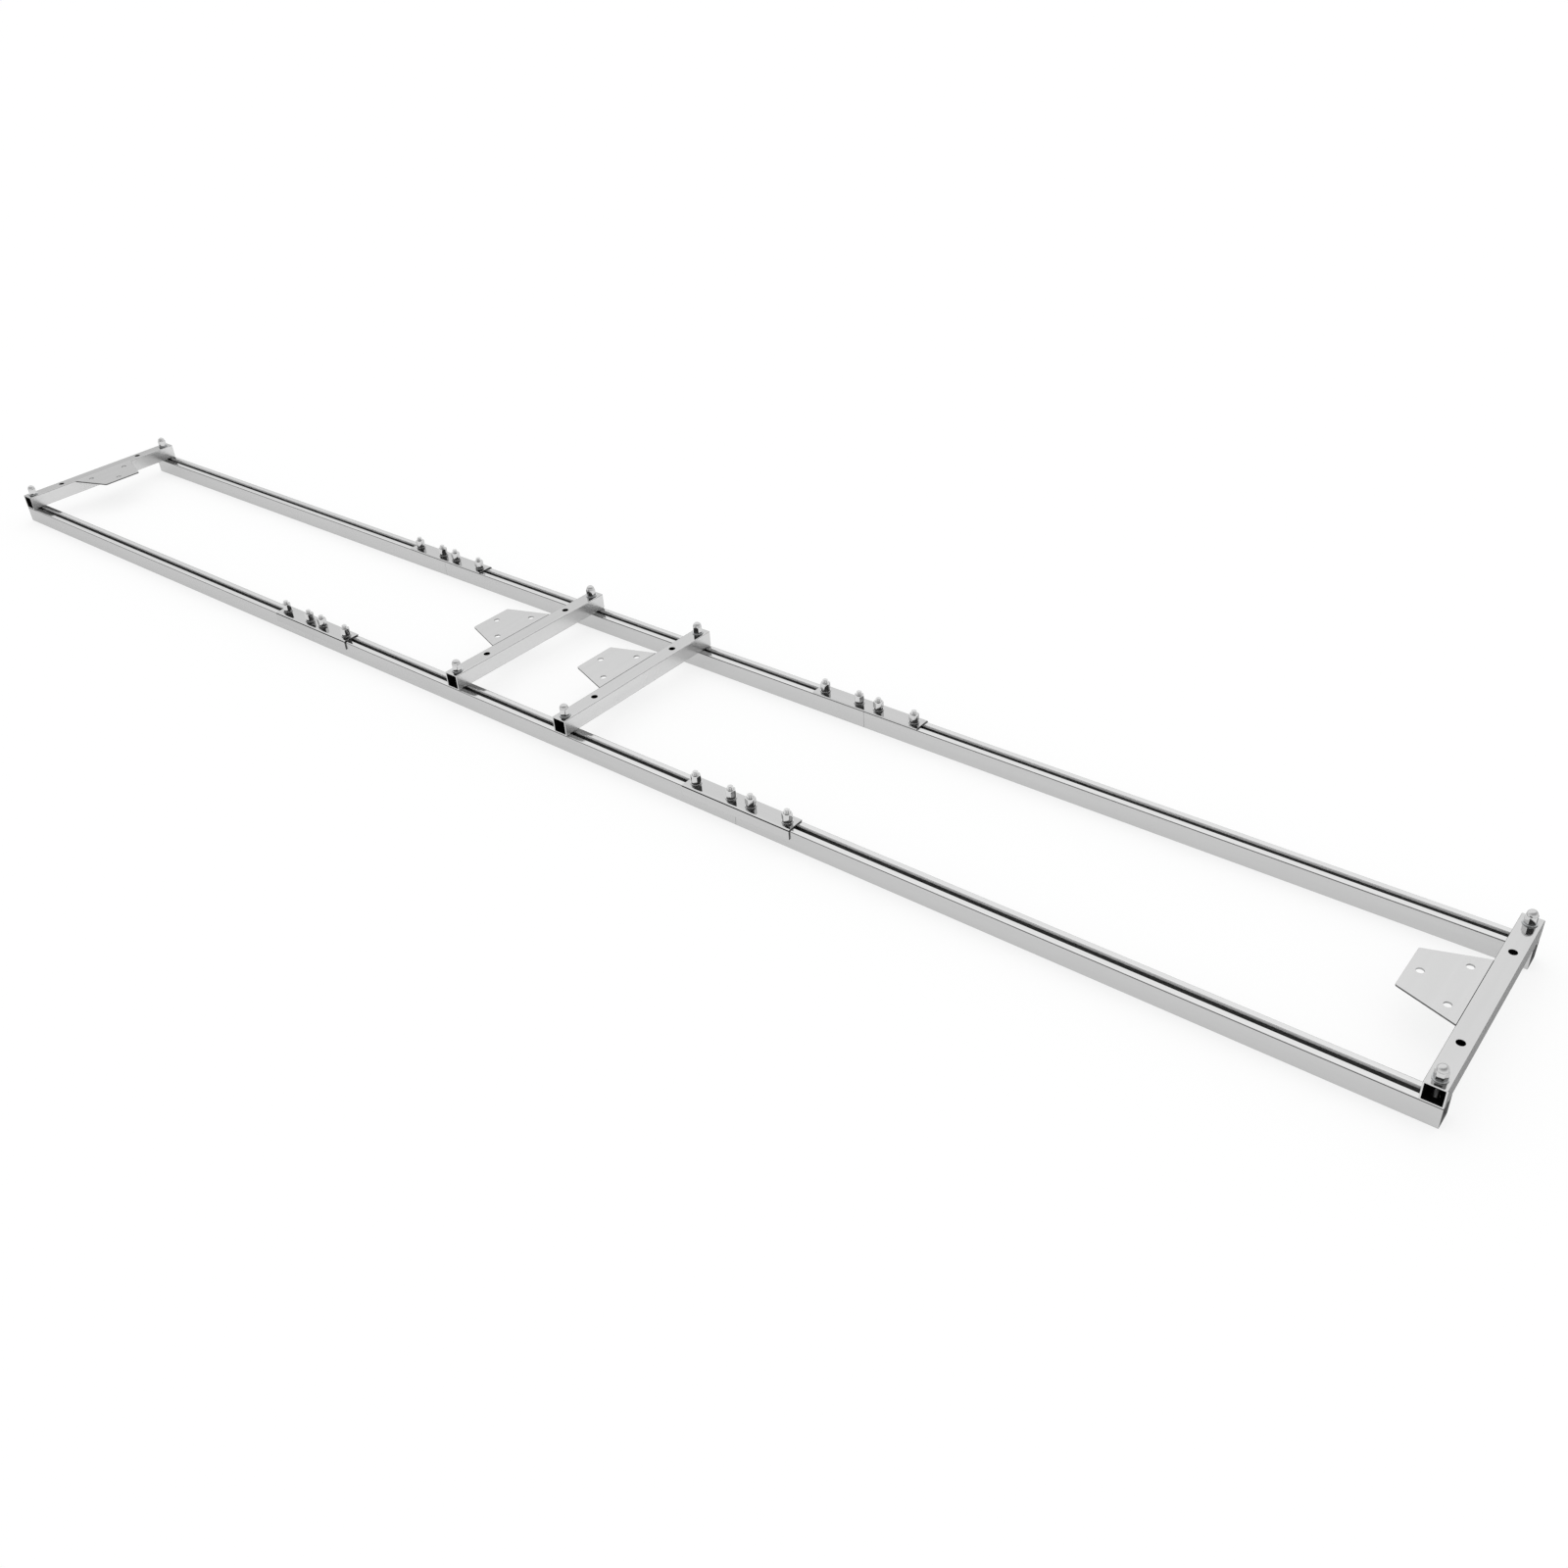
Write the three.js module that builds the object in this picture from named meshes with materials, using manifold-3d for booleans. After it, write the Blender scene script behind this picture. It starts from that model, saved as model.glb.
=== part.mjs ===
// Rail guide of a chainsaw mill: a ladder of two slotted rails and four sliding crossbars.
// Millimetres, +X along the rails, +Y from the front rail to the back rail, +Z up.
// The origin is at the bottom centre, midway between the rails, and the rails lie on z = 0.
import * as THREE from 'three';
import Module from 'manifold-3d';
import { mergeVertices } from 'three/addons/utils/BufferGeometryUtils.js';

const wasm = await Module();
wasm.setup();

// Whole frame
const SECTION_LENGTH = 914.4;
const SEAM_GAP = 0.3;
const FRAME_WIDTH = 316;

// Rail, a channel whose slot opens upwards between two lips that turn down into it
const RAIL_WIDTH = 27;
const RAIL_HEIGHT = 29;
const RAIL_WALL = 2;
const RAIL_CORNER = 2.5;
const LIP_DEPTH = 4;

// Bolts, all of one thread size
const BOLT_DIAMETER = 8;
const BOLT_POINT = 0.8;
const SLOT_PLAY = 0.5;
const HOLE_PLAY = 0.5;
const THREAD_PLAY = 0.3;
const HEAD_LENGTH = 16;
const HEAD_THICKNESS = 4;
const HEAD_SIDE_PLAY = 1;
const HEAD_GAP = 0.3;

// Nuts and washers
const NUT_WIDTH = 13;
const NUT_HEIGHT = 10;
const NUT_CHAMFER = 0.8;
const WASHER_THICKNESS = 1.6;
const SPLICE_WASHER_DIAMETER = 16;
const CROSSBAR_WASHER_DIAMETER = 17;
const LOCK_WASHER_DIAMETER = 13.2;
const LOCK_WASHER_THICKNESS = 2;
const STUD_END = 5.2;
const CAP_NUT_HEIGHT = 16.5;
const CAP_HEX_HEIGHT = 10;
const CAP_DOME_DIAMETER = 12.5;
const CAP_THREAD_LENGTH = 11;
const CAP_BORE_END = 1;

// Splice angle over each seam between two rail sections
const SPLICE_LENGTH = 184;
const SPLICE_THICKNESS = 2;
const SPLICE_DROP = 13.5;
const SPLICE_END_MARGIN = 13.5;
const SPLICE_INNER_OFFSET = 17;

// Crossbar, a square tube across both rails
const BAR_SIZE = 25;
const BAR_WALL = 1.8;
const BAR_CORNER = 1.5;
const MID_LEFT_PLACE = -101;
const MID_RIGHT_PLACE = 131;
const SCREW_HOLE_DIAMETER = 10;
const SCREW_HOLE_OFFSET = 84.5;

// Screw plate at the middle of each crossbar
const PLATE_ROOT = 122;
const PLATE_TIP = 72;
const PLATE_DEPTH = 71.5;
const PLATE_THICKNESS = 2.5;
const PLATE_CORNER = 3;
const PLATE_HOLE_DIAMETER = 9;
const PLATE_TIP_HOLE_MARGIN = 14;
const PLATE_ROOT_HOLE_MARGIN = 16.5;
const PLATE_ROOT_HOLE_OFFSET = 36;

// Turn of each nut on its bolt in degrees, as a spanner happens to leave them: along each splice,
// and from the left crossbar to the right one
const SPLICE_NUT_TURNS = {
  front_splice_left: [0, 44, 20, 50],
  front_splice_right: [54, 44, 14, 57],
  back_splice_left: [23, 34, 20, 23],
  back_splice_right: [21, 40, 7, 18],
};
const CAP_NUT_TURNS = { front: [10, 54, 50, 34], back: [30, 6, 49, 58] };

// Allowance by which a cutting tool stands past the faces that it cuts
const CUT_OVERRUN = 1;

// Sides of the facets that stand for round shapes, and steps of a rounded corner
const HOLE_SIDES = 12;
const BOLT_SIDES = 12;
const WASHER_SIDES = 16;
const DOME_SIDES = 16;
const DOME_RINGS = 3;
const CORNER_STEPS = 2;

// Places that follow from the sizes
const FRAME_LENGTH = 3 * SECTION_LENGTH;
const RAIL_CENTRE = (FRAME_WIDTH - RAIL_WIDTH) / 2;
const SLOT_WIDTH = BOLT_DIAMETER + 2 * SLOT_PLAY;
const BAR_TOP = RAIL_HEIGHT + BAR_SIZE;
const SPLICE_TOP = RAIL_HEIGHT + SPLICE_THICKNESS;
const HEAD_TOP = RAIL_HEIGHT - LIP_DEPTH - HEAD_GAP;
const END_PLACE = (FRAME_LENGTH - BAR_SIZE) / 2;
const SPLICE_OUTER_OFFSET = SPLICE_LENGTH / 2 - SPLICE_END_MARGIN;

// Finishes
function metal(colour, roughness) {
  return new THREE.MeshStandardMaterial({ color: colour, roughness, metalness: 1 });
}

const FINISH = {
  rail: metal(0xd9dadb, 0.28),
  splice: metal(0xd3d4d6, 0.16),
  crossbar: metal(0xd2d3d5, 0.24),
  plate: metal(0xd6d7d8, 0.3),
  bolt: metal(0xb9bbbd, 0.3),
  nut: metal(0xc8cacc, 0.14),
};

// A closed geometry as a solid that can be cut and joined
function solidOf(geometry) {
  geometry.deleteAttribute('normal');
  geometry.deleteAttribute('uv');
  const merged = mergeVertices(geometry);
  return new wasm.Manifold(new wasm.Mesh({
    numProp: 3,
    vertProperties: new Float32Array(merged.attributes.position.array),
    triVerts: new Uint32Array(merged.index.array),
  }));
}

function geometryOf(solid) {
  const { vertProperties, triVerts } = solid.getMesh();
  const geometry = new THREE.BufferGeometry();
  geometry.setAttribute('position', new THREE.BufferAttribute(vertProperties, 3));
  geometry.setIndex(new THREE.BufferAttribute(triVerts, 1));
  geometry.computeVertexNormals();
  return geometry;
}

// A regular prism along Z from low to high, with its first corner turned by twist
function prism(sides, lowRadius, highRadius, low, high, twist = 0) {
  const geometry = new THREE.CylinderGeometry(highRadius, lowRadius, high - low, sides);
  geometry.rotateX(Math.PI / 2);
  geometry.rotateZ(twist);
  geometry.translate(0, 0, (low + high) / 2);
  return solidOf(geometry);
}

function box(length, width, low, high) {
  const geometry = new THREE.BoxGeometry(length, width, high - low);
  geometry.translate(0, 0, (low + high) / 2);
  return solidOf(geometry);
}

// A solid with a round hole along Z at each of the places, cut right through from low to high
function drilled(solid, diameter, places, low, high) {
  return places.reduce((cut, [x, y]) => {
    const tool = prism(HOLE_SIDES, diameter / 2, diameter / 2, low - CUT_OVERRUN, high + CUT_OVERRUN);
    return cut.subtract(tool.translate([x, y, 0]));
  }, solid);
}

// A rectangle from (left, bottom) to (right, top) whose corners are quarter circles
function roundedRectangle(shape, left, right, bottom, top, radius) {
  shape.moveTo(right, bottom + radius);
  shape.lineTo(right, top - radius);
  shape.absarc(right - radius, top - radius, radius, 0, Math.PI / 2);
  shape.lineTo(left + radius, top);
  shape.absarc(left + radius, top - radius, radius, Math.PI / 2, Math.PI);
  shape.lineTo(left, bottom + radius);
  shape.absarc(left + radius, bottom + radius, radius, Math.PI, 1.5 * Math.PI);
  shape.lineTo(right - radius, bottom);
  shape.absarc(right - radius, bottom + radius, radius, 1.5 * Math.PI, 2 * Math.PI);
  return shape;
}

// Extrudes an outline drawn in Y and Z along X, centred on x = 0
function alongX(shape, length) {
  const geometry = new THREE.ExtrudeGeometry(shape, {
    depth: length, bevelEnabled: false, curveSegments: CORNER_STEPS,
  });
  geometry.translate(0, 0, -length / 2);
  const turn = new THREE.Matrix4().makeBasis(
    new THREE.Vector3(0, 1, 0), new THREE.Vector3(0, 0, 1), new THREE.Vector3(1, 0, 0),
  );
  return geometry.applyMatrix4(turn);
}

// Rail section: the outline runs round the outside, over a lip, and back along the hollow
function railGeometry() {
  const half = RAIL_WIDTH / 2;
  const slot = SLOT_WIDTH / 2;
  const corner = RAIL_CORNER;
  const roof = RAIL_HEIGHT - RAIL_WALL;
  const lipFoot = RAIL_HEIGHT - LIP_DEPTH;
  const shape = new THREE.Shape();
  shape.moveTo(slot, RAIL_HEIGHT);
  shape.lineTo(slot, lipFoot);
  shape.lineTo(slot + RAIL_WALL, lipFoot);
  shape.lineTo(slot + RAIL_WALL, roof);
  shape.lineTo(half - RAIL_WALL, roof);
  shape.lineTo(half - RAIL_WALL, RAIL_WALL);
  shape.lineTo(RAIL_WALL - half, RAIL_WALL);
  shape.lineTo(RAIL_WALL - half, roof);
  shape.lineTo(-slot - RAIL_WALL, roof);
  shape.lineTo(-slot - RAIL_WALL, lipFoot);
  shape.lineTo(-slot, lipFoot);
  shape.lineTo(-slot, RAIL_HEIGHT);
  shape.lineTo(corner - half, RAIL_HEIGHT);
  shape.absarc(corner - half, RAIL_HEIGHT - corner, corner, Math.PI / 2, Math.PI);
  shape.lineTo(-half, corner);
  shape.absarc(corner - half, corner, corner, Math.PI, 1.5 * Math.PI);
  shape.lineTo(half - corner, 0);
  shape.absarc(half - corner, corner, corner, 1.5 * Math.PI, 2 * Math.PI);
  shape.lineTo(half, RAIL_HEIGHT - corner);
  shape.absarc(half - corner, RAIL_HEIGHT - corner, corner, 0, Math.PI / 2);
  return alongX(shape, SECTION_LENGTH - SEAM_GAP);
}

// Splice angle: one leg on the rail's top, the other down its outer side, at +Y for outward = 1
function spliceGeometry(outward) {
  const outer = RAIL_WIDTH / 2 + SPLICE_THICKNESS;
  const shape = new THREE.Shape();
  shape.moveTo(-outward * RAIL_WIDTH / 2, RAIL_HEIGHT);
  shape.lineTo(outward * RAIL_WIDTH / 2, RAIL_HEIGHT);
  shape.lineTo(outward * RAIL_WIDTH / 2, RAIL_HEIGHT - SPLICE_DROP);
  shape.lineTo(outward * outer, RAIL_HEIGHT - SPLICE_DROP);
  shape.lineTo(outward * outer, SPLICE_TOP);
  shape.lineTo(-outward * RAIL_WIDTH / 2, SPLICE_TOP);
  shape.closePath();
  const places = spliceOffsets().map((offset) => [offset, 0]);
  const hole = BOLT_DIAMETER + 2 * HOLE_PLAY;
  return geometryOf(drilled(solidOf(alongX(shape, SPLICE_LENGTH)), hole, places, RAIL_HEIGHT, SPLICE_TOP));
}

function spliceOffsets() {
  return [-SPLICE_OUTER_OFFSET, -SPLICE_INNER_OFFSET, SPLICE_INNER_OFFSET, SPLICE_OUTER_OFFSET];
}

// T-headed bolt whose head lies in the rail's hollow and whose shank rises to top
function boltSolid(top) {
  const headWidth = RAIL_WIDTH - 2 * RAIL_WALL - 2 * HEAD_SIDE_PLAY;
  const radius = BOLT_DIAMETER / 2;
  const head = box(HEAD_LENGTH, headWidth, HEAD_TOP - HEAD_THICKNESS, HEAD_TOP);
  const shank = prism(BOLT_SIDES, radius, radius, HEAD_TOP - HEAD_THICKNESS / 2, top - BOLT_POINT);
  const point = prism(BOLT_SIDES, radius, radius - BOLT_POINT, top - BOLT_POINT, top);
  return head.add(shank).add(point);
}

// Hexagon from low to high whose top corners are chamfered
function hexSolid(low, high) {
  const corner = NUT_WIDTH / Math.sqrt(3);
  const body = prism(6, corner, corner, low, high - NUT_CHAMFER);
  return body.add(prism(6, corner, corner - NUT_CHAMFER, high - NUT_CHAMFER, high));
}

// Splice bolt with its flat washer, lock washer and nut run down on it, the nut turned by twist
function spliceBoltGeometry(twist) {
  const washerTop = SPLICE_TOP + WASHER_THICKNESS;
  const lockTop = washerTop + LOCK_WASHER_THICKNESS;
  const nutTop = lockTop + NUT_HEIGHT;
  const washer = SPLICE_WASHER_DIAMETER / 2;
  const lock = LOCK_WASHER_DIAMETER / 2;
  const solid = boltSolid(nutTop + STUD_END)
    .add(prism(WASHER_SIDES, washer, washer, SPLICE_TOP, washerTop))
    .add(prism(BOLT_SIDES, lock, lock, washerTop, lockTop))
    .add(hexSolid(lockTop, nutTop).rotate([0, 0, twist]));
  return geometryOf(solid);
}

function washerGeometry() {
  const bore = BOLT_DIAMETER / 2 + THREAD_PLAY;
  const rim = CROSSBAR_WASHER_DIAMETER / 2;
  const top = BAR_TOP + WASHER_THICKNESS;
  const profile = [[bore, BAR_TOP], [rim, BAR_TOP], [rim, top], [bore, top], [bore, BAR_TOP]];
  return turned(profile, WASHER_SIDES);
}

// A profile of radius and height turned about the Z axis
function turned(profile, sides) {
  const points = profile.map(([radius, height]) => new THREE.Vector2(radius, height));
  return new THREE.LatheGeometry(points, sides).rotateX(Math.PI / 2);
}

// Cap nut: a hexagon under a dome, with a blind bore for the bolt, turned by twist
function capNutGeometry(twist) {
  const foot = BAR_TOP + WASHER_THICKNESS;
  const hexTop = foot + CAP_HEX_HEIGHT;
  const radius = CAP_DOME_DIAMETER / 2;
  const shoulder = foot + CAP_NUT_HEIGHT - radius;
  const arc = Array.from({ length: DOME_RINGS + 1 }, (_, i) => {
    const angle = (Math.PI / 2) * (i / DOME_RINGS);
    return [i === DOME_RINGS ? 0 : radius * Math.cos(angle), shoulder + radius * Math.sin(angle)];
  });
  const base = foot + CAP_HEX_HEIGHT / 2;
  const dome = solidOf(turned([[0, base], [radius, base], ...arc], DOME_SIDES));
  const bore = BOLT_DIAMETER / 2 + THREAD_PLAY;
  const boreTop = foot + CAP_THREAD_LENGTH + CAP_BORE_END;
  const tool = prism(BOLT_SIDES, bore, bore, foot - CUT_OVERRUN, boreTop);
  return geometryOf(hexSolid(foot, hexTop).rotate([0, 0, twist]).add(dome).subtract(tool));
}

// Crossbar tube along Y with its bolt holes and screw holes drilled through both walls
function crossbarGeometry() {
  const half = BAR_SIZE / 2;
  const shape = roundedRectangle(new THREE.Shape(), -half, half, RAIL_HEIGHT, BAR_TOP, BAR_CORNER);
  const hollow = new THREE.Path();
  const inner = half - BAR_WALL;
  hollow.moveTo(-inner, RAIL_HEIGHT + BAR_WALL);
  hollow.lineTo(inner, RAIL_HEIGHT + BAR_WALL);
  hollow.lineTo(inner, BAR_TOP - BAR_WALL);
  hollow.lineTo(-inner, BAR_TOP - BAR_WALL);
  hollow.closePath();
  shape.holes.push(hollow);
  const tube = solidOf(alongX(shape, FRAME_WIDTH).rotateZ(Math.PI / 2));
  const boltHole = BOLT_DIAMETER + 2 * HOLE_PLAY;
  const bolts = [[0, -RAIL_CENTRE], [0, RAIL_CENTRE]];
  const screws = [[0, -SCREW_HOLE_OFFSET], [0, SCREW_HOLE_OFFSET]];
  const forBolts = drilled(tube, boltHole, bolts, RAIL_HEIGHT, BAR_TOP);
  return geometryOf(drilled(forBolts, SCREW_HOLE_DIAMETER, screws, RAIL_HEIGHT, BAR_TOP));
}

// Screw plate, level with the crossbar's top, reaching from its side towards facing
function plateGeometry(facing) {
  const root = BAR_SIZE / 2;
  const tip = root + PLATE_DEPTH;
  const cornerShare = PLATE_CORNER / PLATE_DEPTH;
  const flare = cornerShare * (PLATE_ROOT - PLATE_TIP) / 2;
  const shape = new THREE.Shape();
  shape.moveTo(root, -PLATE_ROOT / 2);
  shape.lineTo(tip - PLATE_CORNER, -PLATE_TIP / 2 - flare);
  shape.quadraticCurveTo(tip, -PLATE_TIP / 2, tip, -PLATE_TIP / 2 + PLATE_CORNER);
  shape.lineTo(tip, PLATE_TIP / 2 - PLATE_CORNER);
  shape.quadraticCurveTo(tip, PLATE_TIP / 2, tip - PLATE_CORNER, PLATE_TIP / 2 + flare);
  shape.lineTo(root, PLATE_ROOT / 2);
  shape.closePath();
  const geometry = new THREE.ExtrudeGeometry(shape, {
    depth: PLATE_THICKNESS, bevelEnabled: false, curveSegments: CORNER_STEPS,
  });
  geometry.translate(0, 0, BAR_TOP - PLATE_THICKNESS);
  const rootHole = root + PLATE_ROOT_HOLE_MARGIN;
  const places = [
    [tip - PLATE_TIP_HOLE_MARGIN, 0],
    [rootHole, -PLATE_ROOT_HOLE_OFFSET],
    [rootHole, PLATE_ROOT_HOLE_OFFSET],
  ];
  const plate = drilled(solidOf(geometry), PLATE_HOLE_DIAMETER, places, BAR_TOP - PLATE_THICKNESS, BAR_TOP);
  return geometryOf(facing > 0 ? plate : plate.rotate([0, 0, 180]));
}

const chainsaw_mill = new THREE.Group();

function addPiece(name, geometry, material, x = 0, y = 0) {
  const mesh = new THREE.Mesh(geometry, material.clone());
  mesh.name = name;
  mesh.position.set(x, y, 0);
  chainsaw_mill.add(mesh);
}

const SIDES = [
  { name: 'front', outward: -1 },
  { name: 'back', outward: 1 },
];
const CROSSBARS = [
  { name: 'left', x: -END_PLACE, facing: 1 },
  { name: 'mid_left', x: MID_LEFT_PLACE, facing: -1 },
  { name: 'mid_right', x: MID_RIGHT_PLACE, facing: -1 },
  { name: 'right', x: END_PLACE, facing: -1 },
];

// Rails and splices
for (const side of SIDES) {
  const y = side.outward * RAIL_CENTRE;
  ['left', 'middle', 'right'].forEach((place, i) => {
    addPiece(`${side.name}_rail_${place}`, railGeometry(), FINISH.rail, (i - 1) * SECTION_LENGTH, y);
  });
  for (const [place, sign] of [['left', -1], ['right', 1]]) {
    const seam = sign * SECTION_LENGTH / 2;
    const name = `${side.name}_splice_${place}`;
    addPiece(name, spliceGeometry(side.outward), FINISH.splice, seam, y);
    spliceOffsets().forEach((offset, i) => {
      const nut = spliceBoltGeometry(SPLICE_NUT_TURNS[name][i]);
      addPiece(`${name}_bolt_${i + 1}`, nut, FINISH.bolt, seam + offset, y);
    });
  }
}

// Crossbars with their plates and clamp bolts
CROSSBARS.forEach((bar, i) => {
  const name = `${bar.name}_crossbar`;
  addPiece(name, crossbarGeometry(), FINISH.crossbar, bar.x);
  addPiece(`${name}_plate`, plateGeometry(bar.facing), FINISH.plate, bar.x);
  for (const side of SIDES) {
    const y = side.outward * RAIL_CENTRE;
    const boltTop = BAR_TOP + WASHER_THICKNESS + CAP_THREAD_LENGTH;
    const twist = CAP_NUT_TURNS[side.name][i];
    addPiece(`${name}_${side.name}_bolt`, geometryOf(boltSolid(boltTop)), FINISH.bolt, bar.x, y);
    addPiece(`${name}_${side.name}_washer`, washerGeometry(), FINISH.bolt, bar.x, y);
    addPiece(`${name}_${side.name}_cap_nut`, capNutGeometry(twist), FINISH.nut, bar.x, y);
  }
});

export default chainsaw_mill;
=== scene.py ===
import math

import bmesh
import bpy
import numpy as np
from bpy.props import FloatProperty, FloatVectorProperty, PointerProperty
from mathutils import Matrix, Vector


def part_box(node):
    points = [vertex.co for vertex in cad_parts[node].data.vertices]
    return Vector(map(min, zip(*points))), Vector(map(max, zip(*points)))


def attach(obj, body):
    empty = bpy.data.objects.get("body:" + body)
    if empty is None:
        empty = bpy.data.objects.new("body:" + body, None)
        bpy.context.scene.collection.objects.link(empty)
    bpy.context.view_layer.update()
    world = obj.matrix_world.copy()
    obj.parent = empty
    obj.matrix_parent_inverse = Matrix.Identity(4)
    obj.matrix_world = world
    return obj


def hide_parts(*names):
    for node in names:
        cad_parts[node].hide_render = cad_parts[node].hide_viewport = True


bl_info = {
    "name": "Chainsaw Mill Rail Guide",
    "version": (1, 0, 0),
    "blender": (4, 5, 0),
    "location": "View3D > Sidebar > Mill",
    "description": "Builds the rails, splices, crossbars, plates and fasteners of a chainsaw mill's guide",
    "category": "Add Mesh",
}

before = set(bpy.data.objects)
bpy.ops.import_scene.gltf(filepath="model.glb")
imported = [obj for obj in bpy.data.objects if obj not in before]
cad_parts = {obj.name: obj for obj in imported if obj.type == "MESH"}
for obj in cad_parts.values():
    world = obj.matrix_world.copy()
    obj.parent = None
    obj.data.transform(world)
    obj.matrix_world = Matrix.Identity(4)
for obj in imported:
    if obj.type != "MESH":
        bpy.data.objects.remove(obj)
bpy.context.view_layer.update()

MM = 0.001
SLIVER = 0.001 * MM
SIDES = ("front", "back")
ENDS = ("left", "right")
SECTIONS = ("left", "middle", "right")
CROSSBARS = ("left", "mid_left", "mid_right", "right")
SPLICE_BOLTS = (1, 2, 3, 4)


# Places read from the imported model
def box_centre(node):
    low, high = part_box(node)
    return (low + high) / 2


RAIL_LOW, RAIL_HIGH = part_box("front_rail_middle")
SPLICE_LOW, SPLICE_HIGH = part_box("front_splice_left")
TUBE_LOW, TUBE_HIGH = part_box("left_crossbar")
PLATE_LOW, PLATE_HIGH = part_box("left_crossbar_plate")
CLAMP_WASHER_LOW, CLAMP_WASHER_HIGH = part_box("left_crossbar_front_washer")
CLAMP_BOLT_LOW, CLAMP_BOLT_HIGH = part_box("left_crossbar_front_bolt")
CAP_NUT_LOW, CAP_NUT_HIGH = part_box("left_crossbar_front_cap_nut")
SPLICE_BOLT_LOW, SPLICE_BOLT_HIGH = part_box("front_splice_left_bolt_1")
RAIL_HALF = (RAIL_HIGH - RAIL_LOW).y / 2
TUBE_HALF = (TUBE_HIGH.x - TUBE_LOW.x) / 2


# Settings
def length(name, description, default):
    return FloatProperty(name=name, description=description, default=default, unit="LENGTH", precision=5)


def degrees(name, description, default):
    return FloatProperty(name=name, description=description, default=math.radians(default), subtype="ANGLE")


def amount(name, description, default):
    return FloatProperty(name=name, description=description, default=default, subtype="FACTOR", min=0, max=1)


def spot(name, description, default):
    return FloatVectorProperty(name=name, description=description, default=default, subtype="TRANSLATION",
                               unit="LENGTH")


def shade(name, surface, level):
    """The colour that a surface reflects, by default a grey of that level."""
    return FloatVectorProperty(name=name, description=f"Reflection of {surface}", default=(level,) * 3,
                               subtype="COLOR", size=3, min=0, max=1)


class MillRailSettings(bpy.types.PropertyGroup):
    wall: length("Wall", "Thickness of the rolled channel", 2 * MM)
    corner: length("Corner", "Outer radius of the channel's four corners", 2.5 * MM)
    slot: length("Slot", "Width of the slot between the lips", 9 * MM)
    lip_depth: length("Lip depth", "How far each lip turns down into the slot", 4 * MM)
    lip_bend: length("Lip bend", "Outer radius of the bend at the slot's edge", 1.5 * MM)
    end_round: length("End round", "Radius worn on the sawn ends", 0.25 * MM)
    # The side and lip colours paint the sides darker and the lips lighter: painted shade and light on one
    # metal, over a real difference in polish.
    side_colour: shade("Side colour", "the satin sides", 0.58)
    lit_lip_colour: shade("Lip colour", "the polished lips", 0.76)
    slot_colour: shade("Slot colour", "the dull faces that line the slot", 0.66)
    # The hollow colour is painted shade that darkens the channel's inside.
    hollow_shade_colour: shade("Hollow colour", "the mill finish inside", 0.22)
    # The bend colour is a painted reflection: a grey line along the rails' upper bends.
    painted_bend_colour: shade("Bend colour", "the grey line along the rails' upper bends", 0.22)


class MillSpliceSettings(bpy.types.PropertyGroup):
    thickness: length("Thickness", "Thickness of the folded angle", 2 * MM)
    bend: length("Bend", "Outer radius of the fold over the rail's edge", 4 * MM)
    edge_round: length("Edge round", "Radius of the sheet's cut edges", 0.3 * MM)
    hole: length("Hole", "Diameter of the bolt holes", 9 * MM)
    # The top colour paints the sheet's top lighter than its leg: painted light.
    lit_top_colour: shade("Top colour", "the polished sheet on top", 0.61)
    leg_colour: shade("Leg colour", "the leg over the rail's side", 0.592)
    # The bend colour is a painted reflection: a dark line along the fold.
    painted_bend_colour: shade("Bend colour", "the dark line along the fold", 0.04)


class MillCrossbarSettings(bpy.types.PropertyGroup):
    wall: length("Wall", "Thickness of the tube's wall", 1.8 * MM)
    corner: length("Corner", "Outer radius of the tube's edges", 1.5 * MM)
    end_round: length("End round", "Radius worn on the sawn ends", 0.25 * MM)
    screw_hole: length("Screw hole", "Diameter of the two screw holes", 10 * MM)
    screw_rim: length("Screw rim", "Radius of the screw holes' rims", 0.3 * MM)
    screw_offset: length("Screw offset", "Distance of a screw hole from the middle", 84.5 * MM)
    bolt_hole: length("Bolt hole", "Diameter of the clamp bolt holes", 9 * MM)
    colour: shade("Colour", "the polished tube", 0.66)
    side_colour: shade("Side colour", "the tube's satin sides", 0.7)
    # The bend colour is a painted reflection: a dark line along the tube's upper bends.
    painted_bend_colour: shade("Bend colour", "the dark line along the tube's upper bends", 0.06)
    # The inside colour is painted shade: near black inside the tube.
    inside_shade_colour: shade("Inside colour", "the tube's raw inside", 0.03)


class MillPlateSettings(bpy.types.PropertyGroup):
    tip: length("Tip width", "Width of the plate's free edge", 72 * MM)
    corner: length("Corner", "Radius of the plate's two free corners", 3 * MM)
    edge_round: length("Edge round", "Radius of the plate's edges and holes", 0.3 * MM)
    hole: length("Hole", "Diameter of the three screw holes", 9 * MM)
    tip_margin: length("Tip margin", "Distance of the single hole from the free edge", 14 * MM)
    root_margin: length("Root margin", "Distance of the pair of holes from the tube", 16.5 * MM)
    root_offset: length("Root offset", "Distance of each hole of the pair from the middle", 36 * MM)
    colour: shade("Colour", "the brushed sheet", 0.68)
    # The cut colour darkens the plates' cut edges and the splices' sawn ends.
    cut_colour: shade("Cut colour", "the burnt edge that a cutting beam leaves", 0.14)
    bore_colour: shade("Bore colour", "the drilled holes' walls", 0.45)


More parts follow.
